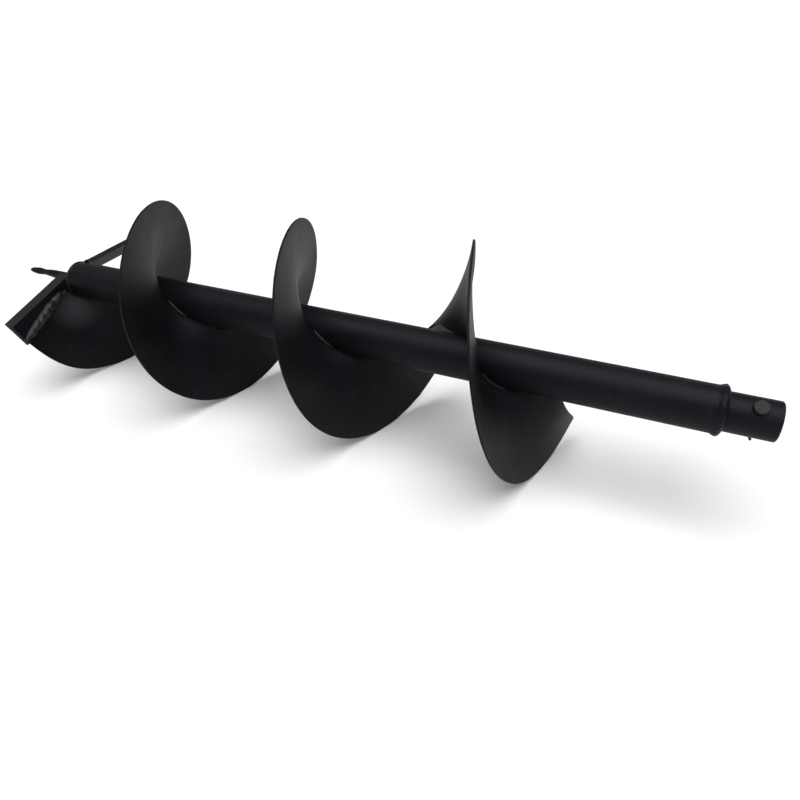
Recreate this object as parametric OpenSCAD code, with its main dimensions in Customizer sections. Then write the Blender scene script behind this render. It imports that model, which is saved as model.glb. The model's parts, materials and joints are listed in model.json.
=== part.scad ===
// Earth auger bit with a tubular shaft, a three-ring helical flight, two cutting blades,
// a spear pilot and a pinned drive socket.
// The tool lies on its side: +X is the tool axis and points out of the drive socket,
// +Z is up. The origin is on the axis in the socket's open end face.

/* [Shaft] */
// Outer diameter of the shaft tube
shaft_d = 40; // [36:0.5:44]
// Wall of the shaft tube
shaft_wall = 3; // [2:0.5:4]
// Distance from the socket's open end to the lower end of the shaft tube
shaft_end = 716; // [700:1:730]

/* [Drive socket] */
// Outer diameter of the drive socket
socket_d = 33; // [32:0.2:34]
// Length of the socket that stands out of the shaft tube
socket_out = 43; // [41:1:50]
// Length of the socket's spigot inside the shaft tube
spigot_len = 32; // [20:1:45]
// Diameter of the socket's guiding bore
socket_bore = 20.2; // [19:0.1:21]
// Diameter of the wider lead-in of the bore
lead_in_bore = 21; // [20.4:0.1:22]
// Depth of the lead-in
lead_in_depth = 23; // [22:0.5:24]
// Full depth of the bore
bore_depth = 40; // [36:1:42]

/* [Pin and clip] */
// Diameter of the drive pin
pin_d = 8; // [6:0.1:9]
// Radial clearance of the pin in the socket
pin_clearance = 0.075; // [0.02:0.005:0.1]
// Distance from the socket's open end to the pin's axis
pin_inset = 17; // [14:0.5:18]
// Tilt of the pin's head away from straight up
pin_tilt = 33; // [0:1:60]
// Diameter of the pin's head
pin_head_d = 12; // [11:0.5:16]
// Thickness of the pin's head
pin_head_t = 2.8; // [2:0.1:4]
// Wire diameter of the spring clip
clip_wire = 2.2; // [1.8:0.1:2.6]
// Gap between the socket and the clip's wire centre
clip_standoff = 10.1; // [9:0.1:12]
// Angle between the clip's leg and the plane square to the tool axis
clip_skew = 25; // [0:1:30]

/* [Flight] */
// Outer radius of the flight
flight_r = 99.5; // [80:0.5:110]
// Thickness of the flight plate
flight_t = 2.2; // [2:0.1:4]
// Axial advance of the flight in one turn
pitch = 171; // [150:1:190]
// Position of the flight at turn zero, which is the side towards +Y
flight_x0 = -641.4; // [-660:0.1:-630]
// Gap left between ring ends for the butt weld
seam_gap = 3; // [2:0.2:4]

/* [Blades] */
// Width of a blade from its cutting edge to its back edge
blade_w = 29.3; // [24:0.1:34]
// Thickness of a blade
blade_t = 5; // [4:0.5:7]
// Width of the sharpened bevel
blade_bevel = 6.5; // [4:0.5:9]
// Radius reached by the cutting edge
blade_reach = 101; // [98:0.5:104]
// Lead of each cutting edge past the tool axis
blade_lead = 8; // [5:0.5:10]

/* [Pilot] */
// Distance from the socket's open end to the tip of the pilot
overall = 795; // [785:1:805]
// Diameter of the pilot's shank
shank_d = 8.6; // [7:0.1:10]
// Width of the pilot's spear head
spear_w = 8; // [7.5:0.5:13]
// Thickness of the pilot's spear head
spear_t = 5; // [4:0.5:6]

/* [Hidden] */
$fn = 96;

shaft_r = shaft_d / 2;
shaft_bore_r = shaft_r - shaft_wall;
socket_r = socket_d / 2;
fit_gap = 0.05;               // gap of a piece that is fitted and then welded
chamfer = 1;                  // edge break on turned parts
weld_groove = 1.5;            // depth of the weld preparation at the nose

// Painted steel, weld metal and plated steel
paint = [0.07, 0.07, 0.08];
weld_paint = [0.12, 0.12, 0.13];
plated = [0.2, 0.2, 0.21];

// The flight: ring ends in turns, and places where forming left it off the true helix
turn_steps = 48;              // facets in a turn, with a flat at the lowest point
ring_ends = [-21.5, 34, 88, 137] / turn_steps;
// Each entry is the middle turn, the half width in turns and the axial shift
forming_waves = [[-0.12, 0.14, -2.5], [0.31, 0.28, 8], [1.945, 0.4, 9.5], [2.14, 0.15, -4],
    [2.95, 0.35, -7]];
// The same for how far the inner edge lags behind the outer one along the tool axis
inner_lags = [[0.38, 0.5, -16.5], [1.5, 0.35, -10], [1.96, 0.28, -23], [2.56, 0.29, -26]];
// Where the upper ring's inner edge stands off the shaft: middle turn, half width, height
standoff_wave = [2.05, 0.15, 11];
// Where a ring was rolled out of round, in the same form
rim_waves = [[1.16, 0.25, 2.5], [2.16, 0.25, 5]];
inner_gap = 0.3;              // gap of the flight's inner edge to the shaft
end_cut_turns = 0.062;        // how much earlier the flight's upper end stops at the shaft
end_cut_curve = 1.5;          // power with which that slant grows from the rim inwards
end_cut_span = 0.3;           // turns over which that slant fades out
start_span = 0.18;            // turns over which the flight leaves the blade's back
radial_steps = 4;

// The blades: angle about the axis, axial place of the edge, slope across the blade and rake
// back along the cutting edge
blade_main = [-168.7, -739, 26, 8.9];
blade_second = [10, -743, 41, 14];
blade_inner = 6;              // where a blade begins, measured along its cutting edge
edge_land = 0.6;              // thickness left at the cutting edge
blade_gap = 0.2;              // gap between the blade's back and the flight laid on it
cope_gap = 0.2;               // gap of a blade to the nose that it is fitted round

nose_len = 11.5;              // length of the nose cone
nose_face_r = 8.5;            // flat face of the nose round the pilot
nose_spigot = 20;
nose_weld_w = 2.5;            // width of the nose weld along the axis
stem_depth = 16;              // length of the pilot's stem inside the nose cap

function unit(v) = v / norm(v);
function bump(t, mid, half) = abs(t - mid) < half ? pow(cos(90 * (t - mid) / half), 2) : 0;
// Sum of bumps, each given as [middle, half width, height]
function waves(t, list, i = 0) = i == len(list) ? 0
    : list[i][2] * bump(t, list[i][0], list[i][1]) + waves(t, list, i + 1);
function smooth(u) = let (c = min(1, max(0, u))) c * c * (3 - 2 * c);
function mix(a, b, u) = a + (b - a) * u;
function polar(x, r, turn) = [x, r * cos(360 * turn), r * sin(360 * turn)];

// Turned profiles are drawn as [radius, distance from the socket's open end]
module turned() rotate([0, -90, 0]) rotate_extrude() children();

// Tube along a list of points; radii and refs give each point's radius and upward direction
function ring_points(p, t, up, r, sides) =
    let (side = unit(cross(t, up)), top = cross(side, t))
    [for (k = [0 : sides - 1]) p + r * (side * cos(360 * k / sides) + top * sin(360 * k / sides))];
function tangent(path, i) =
    unit(path[min(i + 1, len(path) - 1)] - path[max(i - 1, 0)]);
module bead(path, radii, refs, sides = 8) {
    n = len(path);
    points = [for (i = [0 : n - 1])
        each ring_points(path[i], tangent(path, i), refs[i], radii[i], sides)];
    walls = [for (i = [0 : n - 2], k = [0 : sides - 1])
        let (a = i * sides + k, b = i * sides + (k + 1) % sides)
        each [[a, b, b + sides], [a, b + sides, a + sides]]];
    caps = [[for (k = [0 : sides - 1]) sides - 1 - k],
        [for (k = [0 : sides - 1]) (n - 1) * sides + k]];
    polyhedron(points, concat(walls, caps), convexity = 6);
}
function bead_radii(n, r) = [for (i = [0 : n]) r * (0.35 + 0.65 * sqrt(sin(180 * i / n)))];

// ---------------------------------------------------------------- shaft and drive socket

module shaft_tube() color(paint) turned() polygon([
    [shaft_bore_r, socket_out], [shaft_r, socket_out],
    [shaft_r, shaft_end - weld_groove], [shaft_r - weld_groove, shaft_end],
    [shaft_bore_r, shaft_end]]);

module pin_way(r) translate([-pin_inset, 0, 0]) rotate([pin_tilt, 0, 0])
    cylinder(r = r, h = 4 * socket_r, center = true);

module drive_socket() color(paint) difference() {
    turned() polygon([
        [0, bore_depth], [socket_bore / 2, bore_depth],
        [socket_bore / 2, lead_in_depth], [lead_in_bore / 2, lead_in_depth],
        [lead_in_bore / 2, chamfer], [lead_in_bore / 2 + chamfer, 0],
        [socket_r - chamfer, 0], [socket_r, chamfer],
        [socket_r, socket_out + spigot_len], [0, socket_out + spigot_len]]);
    pin_way(pin_d / 2 + pin_clearance);
}

// A convex bead over the end of the shaft tube, with a short steep side on the socket
socket_bead_back = 4.8;
socket_bead_front = 4.2;
socket_bead_rise = 1.4;
module socket_weld() color(weld_paint) turned() polygon(concat(
    [for (a = [180 : -15 : 90])
        [shaft_r + socket_bead_rise * sin(a), socket_out - socket_bead_back * cos(a)]],
    [for (a = [75 : -15 : 0])
        [mix(socket_r, shaft_r + socket_bead_rise, sin(a)),
            socket_out - socket_bead_front * cos(a)]],
    [[socket_r, socket_out], [shaft_r, socket_out]]));

// ---------------------------------------------------------------- nose and pilot

nose_face = shaft_end + nose_len;
function nose_radius(x) = mix(shaft_r, nose_face_r, min(1, max(0, (-x - shaft_end) / nose_len)));
stem_r = shank_d / 2;

module nose_cap() color(paint) turned() polygon([
    [shaft_bore_r - fit_gap, shaft_end - nose_spigot], [shaft_bore_r - fit_gap, shaft_end],
    [shaft_r - weld_groove, shaft_end],
    [nose_radius(-shaft_end - nose_weld_w), shaft_end + nose_weld_w],
    [nose_face_r, nose_face], [stem_r + fit_gap, nose_face],
    [stem_r + fit_gap, nose_face - stem_depth], [0, nose_face - stem_depth],
    [0, shaft_end - nose_spigot]]);

module nose_weld() color(weld_paint) turned() polygon([
    [shaft_r - weld_groove, shaft_end], [shaft_r, shaft_end - weld_groove],
    [shaft_r + 0.3, shaft_end - 0.4], [shaft_r - 0.4, shaft_end + 1],
    [nose_radius(-shaft_end - nose_weld_w), shaft_end + nose_weld_w]]);

spear_shoulder = overall - 13;
spear_base = overall - 23;
neck = overall - 27;
neck_r = 3.2;
spear_roll = 35;

module pilot_point() color(paint) union() {
    turned() polygon([
        [0, nose_face - stem_depth + fit_gap], [stem_r, nose_face - stem_depth + fit_gap],
        [stem_r, neck - 8], [neck_r, neck], [neck_r, spear_base - 1], [0, spear_base - 1]]);
    rotate([spear_roll, 0, 0]) intersection() {
        linear_extrude(spear_t, center = true) polygon([
            [-overall, 0], [-spear_shoulder, spear_w / 2], [-spear_base, spear_w / 2 - 0.5],
            [-neck, neck_r - 0.6], [-neck, 0.6 - neck_r], [-spear_base, 0.5 - spear_w / 2],
            [-spear_shoulder, -spear_w / 2]]);
        rotate([90, 0, 0]) linear_extrude(2 * spear_w, center = true) polygon([
            [-overall, 0.4], [-spear_shoulder, spear_t / 2], [-neck, spear_t / 2],
            [-neck, -spear_t / 2], [-spear_shoulder, -spear_t / 2], [-overall, -0.4]]);
    }
}

pilot_bead = 3.4;
module pilot_weld() color(weld_paint) turned() polygon(concat(
    [[stem_r, nose_face]],
    [for (a = [0 : 15 : 90])
        [stem_r + pilot_bead * cos(a), nose_face + pilot_bead * sin(a)]]));

// ---------------------------------------------------------------- cutting blades

// Blade axes: X square to the blade's face, Y along the cutting edge, Z across to its back
module on_blade(b) translate([b[1], 0, 0]) rotate([b[0], 0, 0]) translate([0, 0, -blade_lead])
    rotate([0, 0, -b[3]]) rotate([0, b[2], 0]) children();

module cutting_blade(b) color(paint) difference() {
    on_blade(b) translate([0, blade_reach / cos(b[3]), 0]) rotate([90, 0, 0])
        linear_extrude(blade_reach / cos(b[3]) - blade_inner) polygon([
            [0, 0], [edge_land, 0], [blade_t, blade_bevel], [blade_t, blade_w], [0, blade_w]]);
    turned() polygon([
        [0, shaft_end - 40], [shaft_r + 3 * cope_gap, shaft_end - 40],
        [shaft_r + 3 * cope_gap, shaft_end + 1], [nose_face_r + 2 * cope_gap, nose_face + cope_gap],
        [stem_r + pilot_bead + cope_gap, nose_face + pilot_bead + cope_gap],
        [stem_r + cope_gap, nose_face + pilot_bead + cope_gap],
        [stem_r + cope_gap, neck - 10], [0, neck - 10]]);
}
module cutting_blade_main() cutting_blade(blade_main);
module cutting_blade_second() cutting_blade(blade_second);

// Axial place of a plane that lies the given height above a blade's underside
function blade_plane(b, r, turn, height) =
    let (phi = 360 * turn - b[0])
    b[1] + height / (cos(b[2]) * cos(b[3])) + tan(b[3]) * r * cos(phi)
        + tan(b[2]) * (r * sin(phi) + blade_lead) / cos(b[3]);

// The root weld follows the line where the blade's face meets the nose
function root_radius(b, turn, r, tries) = tries == 0 ? r :
    root_radius(b, turn, nose_radius(blade_plane(b, r, turn, blade_t)), tries - 1);
module blade_root_weld(b) color(weld_paint) {
    n = 12;
    turns = [for (i = [0 : n]) (b[0] + mix(-22, 62, i / n)) / 360];
    radii = [for (t = turns) root_radius(b, t, 14, 12)];
    path = [for (i = [0 : n]) polar(blade_plane(b, radii[i], turns[i], blade_t + 0.5),
        radii[i] + 1.2, turns[i])];
    bead(path, bead_radii(n, 3), [for (t = turns) polar(0, 1, t)]);
}
module blade_root_weld_main() blade_root_weld(blade_main);
module blade_root_weld_second() blade_root_weld(blade_second);

// ---------------------------------------------------------------- flight

function helix_x(turn) = flight_x0 + pitch * turn + waves(turn, forming_waves);
// 1 where the flight lies on the main blade's back, falling to 0 where it is free
function laid(turn) = 1 - smooth((turn - ring_ends[0]) / start_span);
function flight_mid(r, turn) = mix(
    helix_x(turn) + waves(turn, inner_lags) * (flight_r - r) / (flight_r - shaft_r),
    blade_plane(blade_main, r, turn, blade_t + blade_gap + flight_t / 2), laid(turn));
// Half the plate's thickness, measured along the tool axis
function flight_half(r, turn) = flight_t / 2
    * mix(norm([2 * PI * r, pitch]) / (2 * PI * r),
        1 / (cos(blade_main[2]) * cos(blade_main[3])), laid(turn));
function rim_r(turn) = flight_r + waves(turn, rim_waves);
function inner_r(turn) = shaft_r + inner_gap
    + standoff_wave[2] * bump(turn, standoff_wave[0], standoff_wave[1]);
function flight_point(r, turn, face) =
    polar(flight_mid(r, turn) + face * flight_half(r, turn), r, turn);
function seam_turns(r) = seam_gap / 2 / (2 * PI * r);
function slant(r, turn, last) = last < ring_ends[3] ? 0
    : end_cut_turns * smooth((turn - last + end_cut_span) / end_cut_span)
        * (max(0, flight_r - r) / (flight_r - shaft_r)) ^ end_cut_curve;

module flight_ring(i) {
    first = ring_ends[i];
    last = ring_ends[i + 1];
    turns = concat([first],
        [for (k = [round(first * turn_steps) + 1 : round(last * turn_steps) - 2])
            (k + 0.5) / turn_steps],
        [last]);
    n = len(turns);
    m = radial_steps + 1;
    // A ring's end stands back from the seam, and the last ring's upper end is cut on a slant
    function place(k, r) = turns[k] - slant(r, turns[k], last)
        + (k == 0 && i > 0 ? seam_turns(r) : 0) - (k == n - 1 && i < 2 ? seam_turns(r) : 0);
    points = [for (k = [0 : n - 1], face = [-1, 1], j = [0 : m - 1])
        let (r = mix(inner_r(turns[k]), rim_r(turns[k]), j / radial_steps))
        flight_point(r, place(k, r), face)];
    function at(k, face, j) = (2 * k + face) * m + j;
    function quad(a, b, c, d) = [[a, b, c], [a, c, d]];
    faces = concat(
        [for (k = [0 : n - 2], j = [0 : m - 2]) each quad(
            at(k, 0, j), at(k, 0, j + 1), at(k + 1, 0, j + 1), at(k + 1, 0, j))],
        [for (k = [0 : n - 2], j = [0 : m - 2]) each quad(
            at(k, 1, j), at(k + 1, 1, j), at(k + 1, 1, j + 1), at(k, 1, j + 1))],
        [for (k = [0 : n - 2]) each quad(
            at(k, 0, 0), at(k + 1, 0, 0), at(k + 1, 1, 0), at(k, 1, 0))],
        [for (k = [0 : n - 2]) each quad(
            at(k, 0, m - 1), at(k, 1, m - 1), at(k + 1, 1, m - 1), at(k + 1, 0, m - 1))],
        [for (j = [0 : m - 2]) each quad(
            at(0, 0, j), at(0, 1, j), at(0, 1, j + 1), at(0, 0, j + 1))],
        [for (j = [0 : m - 2]) each quad(
            at(n - 1, 0, j), at(n - 1, 0, j + 1), at(n - 1, 1, j + 1), at(n - 1, 1, j))]);
    color(paint) polyhedron(points, faces, convexity = 8);
}
module flight_ring_lower() flight_ring(0);
module flight_ring_middle() flight_ring(1);
module flight_ring_upper() flight_ring(2);

// Butt weld that fills the gap between two rings, crowned on both faces
seam_crown = 1;
module ring_seam_weld(i) {
    turn = ring_ends[i];
    m = 8;
    radii = [for (j = [0 : m]) mix(shaft_r + inner_gap, flight_r, j / m)];
    function section(r) = let (d = seam_turns(r), c = seam_crown) [
        flight_point(r, turn - d, -1),
        flight_point(r, turn, -1) - [c, 0, 0],
        flight_point(r, turn + d, -1),
        flight_point(r, turn + d, 1),
        flight_point(r, turn, 1) + [c, 0, 0],
        flight_point(r, turn - d, 1)];
    points = [for (r = radii) each section(r)];
    walls = [for (j = [0 : m - 1], k = [0 : 5]) let (a = 6 * j + k, b = 6 * j + (k + 1) % 6)
        each [[a, a + 6, b + 6], [a, b + 6, b]]];
    caps = [[0, 1, 2, 3, 4, 5], [for (k = [5 : -1 : 0]) 6 * m + k]];
    color(weld_paint) polyhedron(points, concat(walls, caps), convexity = 4);
}
module ring_seam_weld_lower() ring_seam_weld(1);
module ring_seam_weld_upper() ring_seam_weld(2);

// Short fillet beads that hold a ring's inner edge to the shaft, on its upper face
tack_len = 26;
tack_r = 2.8;
module flight_tacks(middles) color(weld_paint) for (t = middles) {
    n = 8;
    span = tack_len / norm([2 * PI * shaft_r, pitch]);
    turns = [for (i = [0 : n]) t + span * (i / n - 0.5)];
    path = [for (u = turns) polar(flight_mid(shaft_r + 1, u) + flight_half(shaft_r + 1, u) + 1,
        shaft_r + 0.8, u)];
    bead(path, bead_radii(n, tack_r), [for (u = turns) polar(0, 1, u)]);
}
module flight_tacks_lower() flight_tacks([-0.14, 0.18, 0.5]);
module flight_tacks_middle() flight_tacks([0.83, 1.17, 1.5]);
module flight_tacks_upper() flight_tacks([2.24, 2.56, 2.76]);

// Bead along the flight's starting edge, on the main blade's back
start_bead_r = 3.9;
bead_ahead = 1;               // distance of the bead's middle from the flight's edge
module blade_flight_weld() color(weld_paint) {
    n = 14;
    turn = ring_ends[0];
    radii = [for (i = [0 : n]) mix(26, 99, i / n)];
    path = [for (r = radii) polar(
        blade_plane(blade_main, r, turn, blade_t + 0.6), r, turn - bead_ahead / (2 * PI * r))];
    bead(path, bead_radii(n, start_bead_r), [for (r = radii) [1, 0, 0]]);
}

// ---------------------------------------------------------------- pin and clip

head_gap = 0.3;               // gap of the pin's head to the socket
clip_level = socket_r + clip_standoff;
clip_hole_r = clip_wire / 2 + 0.08;
pin_tail = 4.5;               // length of the pin past the clip
clip_tip = 9;                 // how far the leg's tip shows past the pin's axis
leg_len = 26;                 // length of the straight leg on the bow's side
bow_r = 4.5;                  // mean radius of the clip's bow
grip_gap = 0.3;               // gap of the clip's outer leg to the pin

// Pin axes: Z along the pin towards its head, Y across, X along the tool axis
module on_pin() translate([-pin_inset, 0, 0]) rotate([pin_tilt, 0, 0]) children();
module on_clip() on_pin() translate([0, 0, -clip_level]) rotate([0, 0, clip_skew]) children();

module drive_pin() color(plated) difference() {
    on_pin() rotate_extrude() polygon([
        [0, -clip_level - pin_tail], [pin_d / 2 - chamfer, -clip_level - pin_tail],
        [pin_d / 2, chamfer - clip_level - pin_tail], [pin_d / 2, socket_r + head_gap],
        [pin_head_d / 2, socket_r + head_gap],
        [pin_head_d / 2, socket_r + head_gap + pin_head_t - 0.6],
        [pin_head_d / 2 - 0.6, socket_r + head_gap + pin_head_t],
        [0, socket_r + head_gap + pin_head_t]]);
    on_clip() rotate([90, 0, 0]) cylinder(r = clip_hole_r, h = 2 * pin_d, center = true);
}

// Hairpin clip: a straight leg through the pin, a round bow, and an outer leg that comes in
// beside the straight one, bends round the pin and flares open
grip_r = pin_d / 2 + grip_gap + clip_wire / 2;
grip_start = 50;              // angle at which the outer leg meets the pin
neck_bend_r = 2.5;            // bend where the outer leg comes closest to the straight one
leg_socket = 3;               // length over which the bent wire takes in the straight leg
wire_sides = 12;

// Points along a wire that follows a list of [bend radius, bend angle, straight length after
// it] from a place and a heading; a positive angle bends to the left
function bent_path(steps, p, heading, i = 0) = i == len(steps) ? [p] :
    let (r = steps[i][0], bend = steps[i][1], length = steps[i][2], from = heading - sign(bend) * 90,
        centre = p - r * [cos(from), sin(from), 0], n = ceil(abs(bend) / 15),
        arc = [for (k = [0 : n])
            let (a = from + bend * k / n) centre + r * [cos(a), sin(a), 0]],
        next = arc[n] + length * [cos(heading + bend), sin(heading + bend), 0])
    concat([for (k = [0 : length > 0 ? n : n - 1]) arc[k]],
        bent_path(steps, next, heading + bend, i + 1));

module pin_clip() color(plated) on_clip() {
    neck_centre = (grip_r + neck_bend_r) * [cos(grip_start), sin(grip_start)];
    reach = neck_centre - [bow_r, leg_len];
    bends = bow_r + neck_bend_r;
    heading = atan2(reach[1], reach[0]) - asin(bends / norm(reach));
    path = concat([[0, leg_len - leg_socket, 0]], bent_path([
        [bow_r, heading - 90, sqrt(pow(norm(reach), 2) - pow(bends, 2))],
        [neck_bend_r, grip_start - 90 - heading, 0],
        [grip_r, -grip_start, 3],
        [4, 24, 3]], [0, leg_len, 0], 90));
    translate([0, -clip_tip, 0]) rotate([-90, 0, 0])
        cylinder(d = clip_wire, h = clip_tip + leg_len - 1);
    bead(path, [for (p = path) clip_wire / 2 / cos(180 / wire_sides) + 0.01],
        [for (p = path) [0, 0, 1]], wire_sides);
}

shaft_tube();
drive_socket();
socket_weld();
nose_cap();
nose_weld();
pilot_point();
pilot_weld();
flight_ring_lower();
flight_ring_middle();
flight_ring_upper();
ring_seam_weld_lower();
ring_seam_weld_upper();
flight_tacks_lower();
flight_tacks_middle();
flight_tacks_upper();
cutting_blade_main();
cutting_blade_second();
blade_flight_weld();
blade_root_weld_main();
blade_root_weld_second();
drive_pin();
pin_clip();
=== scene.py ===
"""Looks of the earth auger bit: smooth formed flights, rippled weld beads and satin black paint.

Lengths are in millimetres until a mesh is made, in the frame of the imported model: +X is the tool
axis out of the drive socket, +Z is up, and the origin is on the axis in the socket's end face.
"""

import json
import math

import bmesh
import bpy
from mathutils import Matrix, Vector, noise

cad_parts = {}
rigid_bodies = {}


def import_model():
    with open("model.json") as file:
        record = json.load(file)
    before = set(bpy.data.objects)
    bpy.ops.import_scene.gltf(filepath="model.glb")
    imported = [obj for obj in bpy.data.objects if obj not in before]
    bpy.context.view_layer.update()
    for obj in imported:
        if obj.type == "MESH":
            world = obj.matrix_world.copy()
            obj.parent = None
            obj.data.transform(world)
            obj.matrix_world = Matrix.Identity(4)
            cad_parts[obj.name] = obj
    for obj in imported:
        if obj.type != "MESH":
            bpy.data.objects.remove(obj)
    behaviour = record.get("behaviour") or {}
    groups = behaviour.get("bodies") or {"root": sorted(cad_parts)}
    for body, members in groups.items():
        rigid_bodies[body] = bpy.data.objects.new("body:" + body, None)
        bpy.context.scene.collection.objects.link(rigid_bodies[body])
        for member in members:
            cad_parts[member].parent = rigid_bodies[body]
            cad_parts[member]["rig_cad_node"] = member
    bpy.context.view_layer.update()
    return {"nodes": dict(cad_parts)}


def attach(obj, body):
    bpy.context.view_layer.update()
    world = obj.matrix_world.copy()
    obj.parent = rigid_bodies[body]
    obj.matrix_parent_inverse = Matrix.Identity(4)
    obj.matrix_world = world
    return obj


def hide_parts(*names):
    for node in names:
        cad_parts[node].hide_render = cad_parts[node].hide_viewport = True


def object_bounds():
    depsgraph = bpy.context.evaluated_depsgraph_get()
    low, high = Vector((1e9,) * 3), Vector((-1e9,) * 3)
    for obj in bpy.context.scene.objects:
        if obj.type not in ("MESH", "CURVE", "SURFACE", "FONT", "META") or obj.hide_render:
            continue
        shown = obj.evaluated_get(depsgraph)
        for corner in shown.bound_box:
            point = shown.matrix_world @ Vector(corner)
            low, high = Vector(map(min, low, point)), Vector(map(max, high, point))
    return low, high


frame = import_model()
NODES = frame["nodes"]
BODY = "auger"
MM = 0.001

# ------------------------------------------------------------------ dimensions, as in the design
SHAFT_R = 20
SHAFT_END = 716
OVERALL = 795
SOCKET_R = 16.5
SOCKET_OUT = 43
FLIGHT_R = 99.5
FLIGHT_T = 2.2
PITCH = 171
FLIGHT_X0 = -641.4
SHAFT_OVERLAP = 0.25           # the flight's inner edge is sunk into the tube, so no gap shows
TURN_STEPS = 48
RING_ENDS = [-21.5 / TURN_STEPS, 34 / TURN_STEPS, 88 / TURN_STEPS, 137 / TURN_STEPS]
SEAM_GAP = 0.2                 # what is left of the gap once the seam is welded and dressed
SEAM_HALF_W = 5
SEAM_CROWN = 0.22              # height of the dressed seam over the plate
SEAM_SUNK = 0.03
SEAM_STEPS = 16
# Forming left the flight off the true helix. Each bump is its middle turn, its half width in turns
# and its height in millimetres; the bumps were set one by one.
FORMING_WAVES = [               # the whole width of the flight, along the axis
    (-0.12, 0.14, -2.5),
    (0.31, 0.28, 8),
    (1.945, 0.4, 9.5),
    (2.14, 0.15, -4),
    (2.95, 0.35, -7),
]
INNER_LAGS = [                  # the inner edge, along the axis
    (0.38, 0.5, -16.5),
    (1.5, 0.35, -10),
    (1.96, 0.28, -23),
    (2.56, 0.29, -26),
]
STANDOFF_WAVES = [(2.05, 0.15, 11)]                 # the inner edge, away from the tube
RIM_WAVES = [(1.16, 0.25, 2.5), (2.16, 0.25, 5)]    # the outer edge, away from the axis
END_CUT_TURNS = 0.062          # how far the cut at the flight's end slants
END_CUT_CURVE = 1.5
END_CUT_SPAN = 0.3
START_SPAN = 0.18              # turns over which the flight leaves the blade

BLADE_T = 5
BLADE_BEVEL = 6.5
BLADE_LEAD = 8
BLADE_GAP = 0.2
# Angle about the axis, place of the edge, slope across the blade, rake along the edge
BLADE_MAIN = (-168.7, -739, 26, 8.9)
BLADE_SECOND = (10, -743, 41, 14)
NOSE_LEN = 11.5
NOSE_FACE_R = 8.5
SHANK_R = 4.3

TACK_LEN = 26
TACK_R = 2.2
TACKS = {                      # the turns at the middles of the tacks on each ring
    "lower": (-0.14, 0.18, 0.5),
    "middle": (0.83, 1.17, 1.5),
    "upper": (2.24, 2.56, 2.76),
}
START_BEAD_R = 5
START_BEAD_RADII = (26, 99)    # how far from the axis the bead begins and ends
START_BEAD_AHEAD = 1           # how far it lies in front of the flight's edge
ROOT_BEAD_R = 3
ROOT_BEAD_ARC = (-22, 62)      # degrees about the axis from the blade's own angle
NOSE_BEAD_R = 1.7
NOSE_BEAD_RING_R = SHAFT_R - 1.3
PILOT_BEAD_R = 2.3
PILOT_BEAD_RING_R = SHANK_R + 1.2
SOCKET_BEAD_BACK = 5
SOCKET_BEAD_FRONT = 4.2
SOCKET_BEAD_RISE = 1.4
SOCKET_BEAD_LUMPS = 0.4

NECK = 768
NECK_R = 3.2
SPEAR_W = 8
SPEAR_T = 5
SPEAR_ROLL = 35
SPEAR_STEPS = 26
SPEAR_SQUARE = 2.6             # 2 is an ellipse, and higher is a squarer section
SPEAR_WIDEST = 0.4             # share of the spear's length
SPEAR_TIP = 0.05               # half thickness of the blunt tip

PIN_INSET = 17
PIN_TILT = 33
PIN_R = 4
PIN_HEAD_R = 6
PIN_HEAD_T = 2.8
PIN_CHAMFER = 1
PIN_ROUND = 0.7
PIN_TAIL = 4.5
HEAD_GAP = 0.3
CLIP_LEVEL = SOCKET_R + 10.1

# ------------------------------------------------------------------ fineness of the meshes
RINGS_PER_TURN = 240
RADIAL_STEPS = 20
BEAD_SIDES = 18
BEAD_STEP = 0.5
TACK_STEPS = 24
START_BEAD_STEPS = 30
ROOT_BEAD_STEPS = 24
RING_BEAD_STEPS = 96
SOCKET_BEAD_STEPS = 10
EDGE_ROUND = 0.55
FORMING_UNEVEN = 0.45
FORMING_SCALE = 45

# ------------------------------------------------------------------ unevenness of the beads
WANDER_LEN = 7                 # distance over which a bead's size and ripple drift
SIZE_WANDER = 0.13
RIPPLE_TRAIL = 0.9             # how far a ripple trails at the sides, in bead radii
CREST_MEAN = 0.6               # taken off each crest, so that ripples keep the bead's size
END_TAPER = 0.3
LUMP_SIZE = 3.5                # of the turned collar and the dressed seams


def mix(a, b, u):
    return a + (b - a) * u


def smooth(u):
    c = min(1, max(0, u))
    return c * c * (3 - 2 * c)


def waves(t, rows):
    """Sum of bumps, each given as middle, half width and height."""
    return sum(h * math.cos(math.pi / 2 * (t - mid) / half) ** 2
               for mid, half, h in rows if abs(t - mid) < half)


def polar(x, r, turn):
    a = math.tau * turn
    return Vector((x, r * math.cos(a), r * math.sin(a)))


# ------------------------------------------------------------------ the flight's surface

def blade_plane(blade, r, turn, height):
    """Axial place of a plane that lies the given height above a blade's underside."""
    angle, x, slope, rake = blade
    phi = math.tau * turn - math.radians(angle)
    slope, rake = math.radians(slope), math.radians(rake)
    return (x + height / (math.cos(slope) * math.cos(rake)) + math.tan(rake) * r * math.cos(phi)
            + math.tan(slope) * (r * math.sin(phi) + BLADE_LEAD) / math.cos(rake))


def laid(turn):
    """1 where the flight lies on the main blade's back, falling to 0 where it is free."""
    return 1 - smooth((turn - RING_ENDS[0]) / START_SPAN)


def flight_mid(r, turn):
    lag = waves(turn, INNER_LAGS) * (FLIGHT_R - r) / (FLIGHT_R - SHAFT_R)
    uneven = FORMING_UNEVEN * noise.noise(polar(0, r, turn) / FORMING_SCALE + Vector((4 * turn, 0, 0)))
    free = FLIGHT_X0 + PITCH * turn + waves(turn, FORMING_WAVES) + lag + uneven
    on_blade = blade_plane(BLADE_MAIN, r, turn, BLADE_T + BLADE_GAP + FLIGHT_T / 2)
    return mix(free, on_blade, laid(turn))


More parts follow.
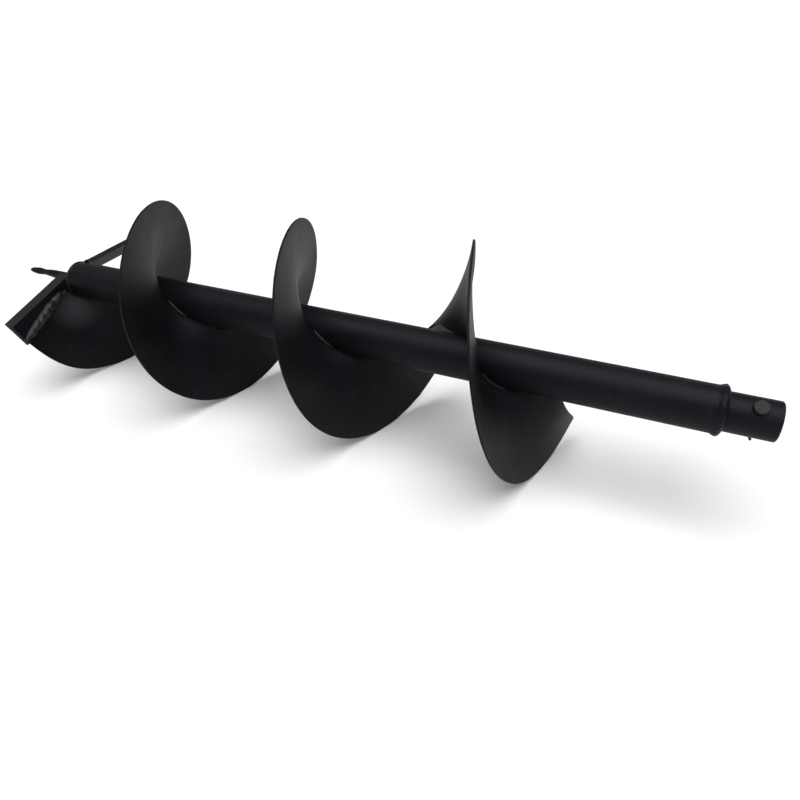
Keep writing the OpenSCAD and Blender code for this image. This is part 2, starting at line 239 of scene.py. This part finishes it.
def flight_half(r, turn):
    """Half the plate's thickness, measured along the tool axis."""
    round_r = math.tau * r
    _, _, slope, rake = BLADE_MAIN
    on_blade = 1 / (math.cos(math.radians(slope)) * math.cos(math.radians(rake)))
    return FLIGHT_T / 2 * mix(math.hypot(round_r, PITCH) / round_r, on_blade, laid(turn))


def flight_point(r, turn, face):
    return polar(flight_mid(r, turn) + face * flight_half(r, turn), r, turn)


def inner_r(turn):
    return SHAFT_R - SHAFT_OVERLAP + waves(turn, STANDOFF_WAVES)


def rim_r(turn):
    return FLIGHT_R + waves(turn, RIM_WAVES)


def seam_turns(r):
    return SEAM_GAP / 2 / (math.tau * r)


def end_slant(r, turn):
    late = smooth((turn - RING_ENDS[-1] + END_CUT_SPAN) / END_CUT_SPAN)
    return END_CUT_TURNS * late * (max(0, FLIGHT_R - r) / (FLIGHT_R - SHAFT_R)) ** END_CUT_CURVE


# ------------------------------------------------------------------ mesh helpers

def make(name, points, faces, *replaced, body=BODY):
    """A smooth mesh piece that rides on a body and stands for CAD nodes."""
    mesh = bpy.data.meshes.new(name)
    mesh.from_pydata([p * MM for p in points], [], faces)
    shell = bmesh.new()
    shell.from_mesh(mesh)
    bmesh.ops.recalc_face_normals(shell, faces=shell.faces)
    shell.to_mesh(mesh)
    shell.free()
    mesh.validate()
    mesh.shade_smooth()
    piece = bpy.data.objects.new(name, mesh)
    bpy.context.scene.collection.objects.link(piece)
    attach(piece, body)
    if replaced:
        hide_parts(*replaced)
    return piece


def soften_edges(piece, width=EDGE_ROUND, angle=40):
    """Rounds the edges of a piece and keeps its broad faces evenly shaded."""
    bevel = piece.modifiers.new("edge_round", "BEVEL")
    bevel.width = width * MM
    bevel.segments = 3
    bevel.limit_method = "ANGLE"
    bevel.angle_limit = math.radians(angle)
    piece.modifiers.new("even_normals", "WEIGHTED_NORMAL")


def loft(rings, closed=False):
    """Faces between rings of equal length, with flat ends unless the row of rings is closed."""
    n, m = len(rings), len(rings[0])
    points = [p for ring in rings for p in ring]
    faces = []
    for i in range(n if closed else n - 1):
        a, b = i * m, (i + 1) % n * m
        faces += [(a + k, a + (k + 1) % m, b + (k + 1) % m, b + k) for k in range(m)]
    if not closed:
        faces += [tuple(reversed(range(m))), tuple(range((n - 1) * m, n * m))]
    return points, faces


def joined(parts):
    points, faces = [], []
    for some, more in parts:
        start = len(points)
        points += some
        faces += [tuple(v + start for v in f) for f in more]
    return points, faces


def resampled(path, step=BEAD_STEP):
    """Points at an even spacing along a polyline, and how far along it each one is."""
    lengths = [0]
    for a, b in zip(path, path[1:]):
        lengths.append(lengths[-1] + (b - a).length)
    count = max(2, round(lengths[-1] / step))
    points, along, i = [], [], 0
    for k in range(count + 1):
        s = lengths[-1] * k / count
        while i < len(path) - 2 and lengths[i + 1] < s:
            i += 1
        u = (s - lengths[i]) / (lengths[i + 1] - lengths[i])
        points.append(path[i].lerp(path[i + 1], u))
        along.append(s)
    return points, along


def weld_bead(path, radius, up, ripple=2.2, rough=0.1, lump_size=2.5, closed=False, seed=0.0):
    """A bead with the overlapping ripples of a hand weld, along a path."""
    points, along = resampled(path)
    total = along[-1]
    if closed:
        points, along = points[:-1], along[:-1]
    n = len(points)
    rings = []
    for i, (p, s) in enumerate(zip(points, along)):
        before = points[i - 1] if i or closed else p
        after = points[(i + 1) % n] if i < n - 1 or closed else p
        t = (after - before).normalized()
        side = t.cross(up(p)).normalized()
        top = side.cross(t)
        end = 1 if closed else math.sin(math.pi * min(0.99, max(0.01, s / total))) ** END_TAPER
        wander = noise.noise(Vector((s / WANDER_LEN, seed, 0)))
        ring = []
        for k in range(BEAD_SIDES):
            a = math.tau * k / BEAD_SIDES
            # A ripple trails back at the bead's sides, so each one is a crescent
            phase = (s + RIPPLE_TRAIL * radius * (1 - abs(math.sin(a))) + 0.5 * wander) / ripple
            crest = abs(math.sin(math.pi * phase)) - CREST_MEAN
            lump = noise.noise(p / lump_size + Vector((math.cos(a), math.sin(a), seed)))
            r = radius * end * (1 + SIZE_WANDER * wander + rough * (crest + lump))
            ring.append(p + r * (side * math.cos(a) + top * math.sin(a)))
        rings.append(ring)
    return loft(rings, closed)


def outward(p):
    return Vector((0, p.y, p.z)).normalized()


# ------------------------------------------------------------------ flight and its welds

def flight_ring(i, name):
    """One formed ring of the flight, from its seam with the ring before to the one after."""
    first, last = RING_ENDS[i], RING_ENDS[i + 1]
    is_lowest = i == 0
    is_uppermost = i == len(RING_ENDS) - 2
    n = math.ceil((last - first) * RINGS_PER_TURN)
    rings = []
    for k in range(n + 1):
        ring = []
        for face, steps in ((-1, range(RADIAL_STEPS + 1)), (1, range(RADIAL_STEPS, -1, -1))):
            for j in steps:
                turn = mix(first, last, k / n)
                r = mix(inner_r(turn), rim_r(turn), j / RADIAL_STEPS)
                start = first + (0 if is_lowest else seam_turns(r))
                end = last - (0 if is_uppermost else seam_turns(r))
                turn = mix(start, end, k / n)
                if is_uppermost:
                    turn -= end_slant(r, turn)
                ring.append(flight_point(r, turn, face))
        rings.append(ring)
    points, faces = loft(rings)
    # The two flat ends are strips across the plate, not one many-sided face
    faces = faces[:-2]
    m = 2 * (RADIAL_STEPS + 1)
    for start, flip in ((0, True), (n * m, False)):
        for j in range(RADIAL_STEPS):
            strip = (start + j, start + j + 1, start + m - 2 - j, start + m - 1 - j)
            faces.append(tuple(reversed(strip)) if flip else strip)
    piece = make(name, points, faces, f"flight_ring_{name.split('_')[-1]}")
    soften_edges(piece)
    return piece


def seam_band(i, name):
    """The butt weld between two rings, dressed down to a low swelling of the plate."""
    rings = []
    for k in range(SEAM_STEPS + 1):
        across = 2 * k / SEAM_STEPS - 1
        crown = SEAM_CROWN * math.cos(math.pi / 2 * across) ** 2 - SEAM_SUNK
        ring = []
        for face, steps in ((-1, range(RADIAL_STEPS + 1)), (1, range(RADIAL_STEPS, -1, -1))):
            for j in steps:
                r = mix(SHAFT_R, FLIGHT_R - 0.1, j / RADIAL_STEPS)
                p = flight_point(r, RING_ENDS[i] + across * SEAM_HALF_W / (math.tau * r), face)
                uneven = SEAM_CROWN * noise.noise(p / LUMP_SIZE)
                ring.append(p + Vector((face * (crown + uneven * (1 - across ** 2)), 0, 0)))
        rings.append(ring)
    return make(name, *loft(rings), f"ring_seam_weld_{name.split('_')[-1]}")


def flight_tacks(which):
    """Short fillet welds between one ring and the tube."""
    span = TACK_LEN / math.hypot(math.tau * SHAFT_R, PITCH)
    parts = []
    for turn in TACKS[which]:
        turns = [turn + span * (k / TACK_STEPS - 0.5) for k in range(TACK_STEPS + 1)]
        path = [polar(flight_mid(SHAFT_R + 1, t) + flight_half(SHAFT_R + 1, t) + 1, SHAFT_R + 0.8, t)
                for t in turns]
        parts.append(weld_bead(path, TACK_R, outward, seed=7 * turn))
    return make(f"tacks_{which}", *joined(parts), f"flight_tacks_{which}")


def start_bead():
    """The heavy, uneven bead along the flight's starting edge on the main blade."""
    path = []
    for k in range(START_BEAD_STEPS + 1):
        r = mix(*START_BEAD_RADII, k / START_BEAD_STEPS)
        t = RING_ENDS[0] - START_BEAD_AHEAD / (math.tau * r)
        path.append(polar(blade_plane(BLADE_MAIN, r, t, BLADE_T + 0.6), r, t))
    parts = weld_bead(path, START_BEAD_R, lambda p: Vector((1, 0, 0)), ripple=10,
                      rough=0.13, lump_size=6, seed=11.0)
    return make("bead_flight_start", *parts, "blade_flight_weld")


def nose_radius(x):
    return mix(SHAFT_R, NOSE_FACE_R, min(1, max(0, (-x - SHAFT_END) / NOSE_LEN)))


def root_bead(blade, which):
    """The fillet where the blade's back meets the nose, found by closing in on that line."""
    angle = blade[0]
    first, last = (angle + offset for offset in ROOT_BEAD_ARC)
    path = []
    for k in range(ROOT_BEAD_STEPS + 1):
        t = mix(first, last, k / ROOT_BEAD_STEPS) / 360
        r = 14
        for _ in range(12):
            r = nose_radius(blade_plane(blade, r, t, BLADE_T))
        path.append(polar(blade_plane(blade, r, t, BLADE_T + 0.5), r + 1.2, t))
    parts = weld_bead(path, ROOT_BEAD_R, outward, ripple=2.8, rough=0.08, seed=angle)
    return make(f"bead_blade_root_{which}", *parts, f"blade_root_weld_{which}")


def ring_bead(name, x, ring_r, radius, node, seed):
    """A weld all round the tool axis."""
    path = [polar(x, ring_r, k / RING_BEAD_STEPS) for k in range(RING_BEAD_STEPS + 1)]
    parts = weld_bead(path, radius, outward, ripple=2.4, rough=0.07, closed=True, seed=seed)
    return make(name, *parts, node)


def lathe(profile, closed=False, lumps=0.0, segments=144):
    """A solid turned about the tool axis from points of (place on the axis, radius)."""
    rings = []
    for x, r in profile:
        ring = []
        for k in range(segments):
            lump = lumps * noise.noise(polar(x, r, k / segments) / LUMP_SIZE)
            ring.append(polar(x, r + lump, k / segments))
        rings.append(ring)
    return loft(rings, closed)


def arc(centre, radius, start, end, steps):
    """Profile points on part of an ellipse, from one angle in degrees to another."""
    points = []
    for k in range(steps + 1):
        a = math.radians(mix(start, end, k / steps))
        points.append((centre[0] + radius[0] * math.cos(a), centre[1] + radius[1] * math.sin(a)))
    return points


def socket_bead():
    """The collar of weld over the end of the shaft tube, steep on the socket's side."""
    x = -SOCKET_OUT
    back = []
    for k in range(SOCKET_BEAD_STEPS):
        u = k / SOCKET_BEAD_STEPS
        rise = (SOCKET_BEAD_RISE + 0.1) * smooth(u)
        back.append((x - SOCKET_BEAD_BACK * (1 - u), SHAFT_R - 0.1 + rise))
    height = SHAFT_R + SOCKET_BEAD_RISE - SOCKET_R + 0.2
    front = arc((x, SOCKET_R - 0.2), (SOCKET_BEAD_FRONT, height), 90, 0, 12)
    inner = [(x, SOCKET_R - 0.4), (x - SOCKET_BEAD_BACK, SHAFT_R - 0.5)]
    parts = lathe(back + front + inner, closed=True, lumps=SOCKET_BEAD_LUMPS)
    return make("bead_socket", *parts, "socket_weld")


def spear_section(x, half_w, half_t, segments=40):
    """One rounded cross-section of the pilot, turned to the way the spear lies."""
    roll = math.radians(SPEAR_ROLL)
    ring = []
    for k in range(segments):
        a = math.tau * k / segments
        w = half_w * math.copysign(abs(math.cos(a)) ** (2 / SPEAR_SQUARE), math.cos(a))
        t = half_t * math.copysign(abs(math.sin(a)) ** (2 / SPEAR_SQUARE), math.sin(a))
        y = w * math.cos(roll) - t * math.sin(roll)
        z = w * math.sin(roll) + t * math.cos(roll)
        ring.append(Vector((x, y, z)))
    return ring


def pilot():
    """Round shank drawn down to a neck, and a forged leaf-shaped spear with soft shoulders."""
    shank = (
        (SHAFT_END - 4, SHANK_R),
        (NECK - 14, SHANK_R),
        (NECK - 8, SHANK_R * 0.95),
        (NECK, NECK_R),
    )
    rings = [spear_section(-x, r, r) for x, r in shank]
    for k in range(1, SPEAR_STEPS + 1):
        u = k / SPEAR_STEPS
        x = mix(NECK, OVERALL, u)
        past_widest = max(0, (u - SPEAR_WIDEST) / (1 - SPEAR_WIDEST))
        swell = smooth(min(1, u / SPEAR_WIDEST)) * math.sqrt(max(0, 1 - past_widest ** 1.7))
        half_w = mix(NECK_R * (1 - u), SPEAR_W / 2, swell) + SPEAR_TIP
        half_t = mix(NECK_R * (1 - u), SPEAR_T / 2, swell) * mix(1, 0.55, u) + SPEAR_TIP
        uneven = 1 + 0.06 * noise.noise(Vector((x / 4, 5, 0)))
        rings.append(spear_section(-x, half_w * uneven, half_t))
    return make("pilot", *loft(rings), "pilot_point")


def drive_pin():
    """Pin with a flat round head, a rounded rim and a chamfered tail, without the clip's hole."""
    face = SOCKET_R + HEAD_GAP
    top = face + PIN_HEAD_T
    tail = -CLIP_LEVEL - PIN_TAIL
    rim = arc((top - PIN_ROUND, PIN_HEAD_R - PIN_ROUND), (PIN_ROUND, PIN_ROUND), 0, 90, 6)
    profile = [
        (tail, PIN_R - PIN_CHAMFER),
        (tail + PIN_CHAMFER, PIN_R),
        (face, PIN_R),
        (face, PIN_HEAD_R),
        *reversed(rim),
    ]
    points, faces = lathe(profile, segments=72)
    # The turned profile is stood up along the pin, whose head leans towards the front
    stand_up = Matrix.Rotation(math.radians(-90), 3, "Y")
    lean = Matrix.Rotation(math.radians(PIN_TILT), 3, "X")
    upright = lean @ stand_up
    points = [upright @ p + Vector((-PIN_INSET, 0, 0)) for p in points]
    piece = make("pin", points, faces, "drive_pin", body="pin")
    piece.modifiers.new("even_normals", "WEIGHTED_NORMAL")
    return piece


# ------------------------------------------------------------------ materials

class Nodes:
    """Short way to add shader nodes to one material and join them."""

    def __init__(self, name):
        self.material = bpy.data.materials.new(name)
        self.material.use_nodes = True
        self.tree = self.material.node_tree
        self.shader = self.tree.nodes["Principled BSDF"]
        self.place = self.add("ShaderNodeTexCoord").outputs["Object"]

    def add(self, kind, values=None, **settings):
        node = self.tree.nodes.new(kind)
        for key, value in settings.items():
            setattr(node, key, value)
        for key, value in (values or {}).items():
            if isinstance(value, bpy.types.NodeSocket):
                self.tree.links.new(value, node.inputs[key])
            else:
                node.inputs[key].default_value = value
        return node

    def noise(self, per_metre, detail=3.0, rough=0.5):
        values = {"Vector": self.place, "Scale": per_metre, "Detail": detail, "Roughness": rough}
        return self.add("ShaderNodeTexNoise", values).outputs["Fac"]

    def math(self, operation, a, b=0.0, clamp=False):
        return self.add("ShaderNodeMath", {0: a, 1: b}, operation=operation, use_clamp=clamp).outputs[0]

    def remap(self, value, low, high, to_low=0.0, to_high=1.0):
        values = {"Value": value, "From Min": low, "From Max": high, "To Min": to_low, "To Max": to_high}
        return self.add("ShaderNodeMapRange", values, clamp=True).outputs["Result"]

    def blend(self, factor, a, b):
        node = self.add("ShaderNodeMix", data_type="RGBA")
        for socket, value in ((node.inputs[0], factor), (node.inputs[6], a), (node.inputs[7], b)):
            if isinstance(value, bpy.types.NodeSocket):
                self.tree.links.new(value, socket)
            else:
                socket.default_value = value
        return node.outputs[2]

    def edges(self, radius):
        """About 1 on sharp outer edges and 0 on broad faces."""
        rounded = self.add("ShaderNodeBevel", {"Radius": radius * MM}, samples=6).outputs["Normal"]
        true = self.add("ShaderNodeNewGeometry").outputs["Normal"]
        dot = self.add("ShaderNodeVectorMath", {0: rounded, 1: true}, operation="DOT_PRODUCT")
        return self.remap(dot.outputs["Value"], 0.99, 0.8)

    def bump(self, height, distance, strength=1.0, below=None):
        values = {"Height": height, "Distance": distance * MM, "Strength": strength}
        if below:
            values["Normal"] = below
        return self.add("ShaderNodeBump", values).outputs["Normal"]

    def link(self, socket, name):
        self.tree.links.new(socket, self.shader.inputs[name])


def grey(level, blue=1.0, red=1.0):
    return (level * red, level, level * blue, 1)


PAINT_DARK = grey(0.0017, 1.6, 1.12)
PAINT_LIGHT = grey(0.0036, 1.45, 1.12)
DUST = grey(0.02, 1.1)
PAINT_SHEEN = (0.93, 0.86, 1, 1)
# Lighter colour of the edges: partly rubbed paint, partly a painted highlight on the rims
WORN_AND_RIM_HIGHLIGHT = grey(0.03, 1.08)
THIN_PAINT = grey(0.012, 1.06)
SPATTER_TINT = grey(0.03, 1.12)
PAINT_SPECULAR = 0.15
METAL_SPECULAR = 0.2

# Scales of the noise textures, in features per metre
CLOUDS = 22
SCUFFS = 75
PAINT_GRAIN = 420
SPATTER_GRAIN = 520.0
WELD_CLOUDS = 90
WELD_GRAIN = 900
METAL_CLOUDS = 160
METAL_GRAIN = 1400

SPATTER_PLACE = polar(-704, 34, -0.40)
SPATTER_REACH = 30
RAGGED_EDGE = 1.6              # how unevenly the ground strip of a blade ends


def painted(name, rough=(0.46, 0.58), peel=0.05, wear_and_rim_highlight=0.5, spatter=None, ground=None):
    """Satin black enamel over steel, mottled, with orange peel, dust, and edges made lighter, partly as
    rubbed paint and partly as a painted highlight on the rims.
    """
    n = Nodes(name)
    cloud = n.noise(CLOUDS, 5, 0.6)
    grain = n.noise(PAINT_GRAIN, 4, 0.65)
    scuffs = n.noise(SCUFFS, 6, 0.7)
    colour = n.blend(n.remap(cloud, 0.35, 0.7), PAINT_DARK, PAINT_LIGHT)
    dust = n.math("MULTIPLY", n.remap(scuffs, 0.56, 0.78), 0.35)
    colour = n.blend(dust, colour, DUST)
    roughness = n.remap(n.math("ADD", cloud, n.math("MULTIPLY", scuffs, 0.5)), 0.5, 1.0, *rough)
    # Edges painted lighter: partly rubbed paint, partly a painted highlight standing in for the light
    # caught on the rims
    rubbed_and_rim_highlight = n.math("MULTIPLY", n.edges(1.3), n.remap(scuffs, 0.42, 0.62, 0.15, 1))
    colour = n.blend(n.math("MULTIPLY", rubbed_and_rim_highlight, wear_and_rim_highlight), colour, WORN_AND_RIM_HIGHLIGHT)
    relief = n.bump(cloud, 0.5, 0.35)
    relief = n.bump(grain, peel, 1.0, relief)
    if spatter:
        centre, reach = spatter
        away = n.add("ShaderNodeVectorMath", {0: n.place, 1: centre * MM}, operation="DISTANCE")
        near = n.remap(away.outputs["Value"], reach * MM, reach * 0.25 * MM)
        cells = n.add("ShaderNodeTexVoronoi", {"Vector": n.place, "Scale": SPATTER_GRAIN})
        balls = n.math("MULTIPLY", n.remap(cells.outputs["Distance"], 0.5, 0.1), near)
        relief = n.bump(balls, 0.5, 1.0, relief)
        colour = n.blend(n.math("MULTIPLY", near, 0.8), colour, SPATTER_TINT)
    if ground:
        origin, across, width = ground
        offset = n.add("ShaderNodeVectorMath", {0: n.place, 1: origin * MM}, operation="SUBTRACT")
        along = n.add("ShaderNodeVectorMath", {0: offset.outputs[0], 1: across}, operation="DOT_PRODUCT")
        ragged = n.math("ADD", along.outputs["Value"], n.math("MULTIPLY", scuffs, RAGGED_EDGE * MM))
        bare = n.remap(ragged, (width + 1.1) * MM, (width + 0.5) * MM)
        bare = n.math("MULTIPLY", bare, n.remap(scuffs, 0.3, 0.5, 0.55, 0.95))
        colour = n.blend(bare, colour, THIN_PAINT)
    n.link(colour, "Base Color")
    n.link(roughness, "Roughness")
    n.link(relief, "Normal")
    n.shader.inputs["Specular IOR Level"].default_value = PAINT_SPECULAR
    n.shader.inputs["Specular Tint"].default_value = PAINT_SHEEN
    return n.material


def welded(name, level=0.006):
    """Weld metal under thin paint, mottled, with a fine grain."""
    n = Nodes(name)
    cloud = n.noise(WELD_CLOUDS, 4, 0.6)
    grain = n.noise(WELD_GRAIN, 3, 0.6)
    colour = n.blend(n.remap(cloud, 0.4, 0.65), grey(level * 0.4, 1.15), grey(level, 1.05))
    n.link(colour, "Base Color")
    n.link(n.remap(cloud, 0.3, 0.7, 0.34, 0.5), "Roughness")
    n.link(n.bump(grain, 0.12, 0.8), "Normal")
    n.shader.inputs["Specular IOR Level"].default_value = METAL_SPECULAR
    return n.material


def blackened(name, level, metal, rough):
    """Phosphated or oiled steel, mottled, with a fine grain and edges made lighter, partly rubbed and
    partly a painted highlight on the rims.
    """
    n = Nodes(name)
    cloud = n.noise(METAL_CLOUDS, 4, 0.6)
    grain = n.noise(METAL_GRAIN, 3, 0.6)
    colour = n.blend(n.remap(cloud, 0.35, 0.7), grey(level * 0.7, 1.12), grey(level * 1.2, 1.08))
    # Edges painted lighter: partly rubbed steel, partly a painted highlight on the rims
    rubbed_and_rim_highlight = n.math("MULTIPLY", n.edges(0.6), n.remap(cloud, 0.4, 0.6, 0.3, 1))
    colour = n.blend(n.math("MULTIPLY", rubbed_and_rim_highlight, 0.6), colour, grey(level * 4, 1.03))
    n.link(colour, "Base Color")
    n.link(n.remap(cloud, 0.3, 0.7, rough - 0.05, rough + 0.08), "Roughness")
    n.link(n.bump(grain, 0.05, 0.7), "Normal")
    n.shader.inputs["Metallic"].default_value = metal
    n.shader.inputs["Specular IOR Level"].default_value = METAL_SPECULAR
    return n.material


def ground_edge(blade):
    """Origin and direction that measure how far a point of a blade is from its cutting edge."""
    angle, x, slope, rake = blade
    turned = Matrix.Rotation(math.radians(angle), 3, "X")
    tilt = Matrix.Rotation(math.radians(-rake), 3, "Z") @ Matrix.Rotation(math.radians(slope), 3, "Y")
    return Vector((x, 0, 0)) + turned @ Vector((0, 0, -BLADE_LEAD)), turned @ tilt @ Vector((0, 0, 1))


def dress(obj, material):
    obj.data.materials.clear()
    obj.data.materials.append(material)


# ------------------------------------------------------------------ build the pieces

steel = painted("painted_steel")
flight_paint = painted("painted_flight", rough=(0.48, 0.58), peel=0.04, wear_and_rim_highlight=0.7,
                       spatter=(SPATTER_PLACE, SPATTER_REACH))
blade_paint = {
    which: painted(f"painted_blade_{which}", wear_and_rim_highlight=0.7, ground=(*ground_edge(blade), BLADE_BEVEL))
    for which, blade in (("main", BLADE_MAIN), ("second", BLADE_SECOND))
}
weld = welded("painted_weld")
bright_weld = welded("bright_weld", level=0.03)
pin_steel = blackened("pin_steel", 0.006, 0, 0.45)
wire_steel = blackened("spring_wire", 0.1, 0.9, 0.34)

for i, which in enumerate(("lower", "middle", "upper")):
    dress(flight_ring(i, f"flight_{which}"), flight_paint)
    dress(flight_tacks(which), weld)
for i, which in ((1, "lower"), (2, "upper")):
    dress(seam_band(i, f"seam_{which}"), flight_paint)
dress(start_bead(), bright_weld)
for blade, which in ((BLADE_MAIN, "main"), (BLADE_SECOND, "second")):
    dress(root_bead(blade, which), weld)
    dress(NODES[f"cutting_blade_{which}"], blade_paint[which])

ring_beads = (
    ("bead_nose", -SHAFT_END - 0.2, NOSE_BEAD_RING_R, NOSE_BEAD_R, "nose_weld", 21.0),
    ("bead_pilot", -SHAFT_END - NOSE_LEN - 0.6, PILOT_BEAD_RING_R, PILOT_BEAD_R, "pilot_weld", 23.0),
)
for bead in ring_beads:
    dress(ring_bead(*bead), weld)

dress(socket_bead(), steel)
dress(pilot(), steel)

for name in ("shaft_tube", "drive_socket", "nose_cap"):
    dress(NODES[name], steel)
dress(drive_pin(), pin_steel)
dress(NODES["pin_clip"], wire_steel)

# ------------------------------------------------------------------ stage

FLOOR_SIZE = 60
CAMERA_TARGET = Vector((-0.3209, 0, -0.0627))
CAMERA_AZIMUTH = 23.05
CAMERA_ELEVATION = 33.59
CAMERA_DISTANCE = 0.639
LENS = 28.9
SUN_ENERGY = 3.55
SUN_ANGLE = 68                 # so wide that shadows have no edge
SUN_TILT = (9, 2)
HORIZON_GLOW = 0.55
ZENITH_GLOW = 0.08
GLOW_FADE = (0.3, 0.65)        # sines of the elevations between which the glow fades


def stage_floor():
    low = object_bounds()[0][2]
    mesh = bpy.data.meshes.new("floor")
    half = FLOOR_SIZE / 2
    corners = [(x, y, low) for x, y in ((-half, -half), (half, -half), (half, half), (-half, half))]
    mesh.from_pydata(corners, [], [(0, 1, 2, 3)])
    floor = bpy.data.objects.new("floor", mesh)
    bpy.context.scene.collection.objects.link(floor)
    n = Nodes("floor")
    n.link(n.blend(n.noise(6, 3), grey(0.84), grey(0.88)), "Base Color")
    n.shader.inputs["Roughness"].default_value = 0.75
    n.shader.inputs["Specular IOR Level"].default_value = 0.2
    mesh.materials.append(n.material)


def studio():
    """A very wide sun from above that lights the floor evenly, and a world paler near the horizon."""
    world = bpy.data.worlds.new("studio")
    world.use_nodes = True
    background = world.node_tree.nodes["Background"]
    background.inputs["Color"].default_value = (0.96, 0.97, 1, 1)
    links = world.node_tree.links
    place = world.node_tree.nodes.new("ShaderNodeTexCoord")
    split = world.node_tree.nodes.new("ShaderNodeSeparateXYZ")
    fade = world.node_tree.nodes.new("ShaderNodeMapRange")
    fade.inputs["From Min"].default_value = GLOW_FADE[0]
    fade.inputs["From Max"].default_value = GLOW_FADE[1]
    fade.inputs["To Min"].default_value = HORIZON_GLOW
    fade.inputs["To Max"].default_value = ZENITH_GLOW
    links.new(place.outputs["Generated"], split.inputs[0])
    links.new(split.outputs["Z"], fade.inputs["Value"])
    links.new(fade.outputs["Result"], background.inputs["Strength"])
    bpy.context.scene.world = world
    light = bpy.data.lights.new("overhead", "SUN")
    light.energy = SUN_ENERGY
    light.angle = math.radians(SUN_ANGLE)
    lamp = bpy.data.objects.new("overhead", light)
    bpy.context.scene.collection.objects.link(lamp)
    lamp.rotation_euler = (*(math.radians(tilt) for tilt in SUN_TILT), 0)
    bpy.context.scene.view_settings.view_transform = "Standard"


def photo_camera():
    azimuth, elevation = math.radians(CAMERA_AZIMUTH), math.radians(CAMERA_ELEVATION)
    forward = Vector((
        -math.sin(azimuth) * math.cos(elevation),
        math.cos(azimuth) * math.cos(elevation),
        -math.sin(elevation),
    ))
    camera = bpy.data.cameras.new("camera")
    camera.lens = LENS
    camera.clip_start = 0.01
    eye = bpy.data.objects.new("camera", camera)
    bpy.context.scene.collection.objects.link(eye)
    eye.location = CAMERA_TARGET - forward * CAMERA_DISTANCE
    eye.rotation_euler = forward.to_track_quat("-Z", "Y").to_euler()
    bpy.context.scene.camera = eye


stage_floor()
studio()
photo_camera()
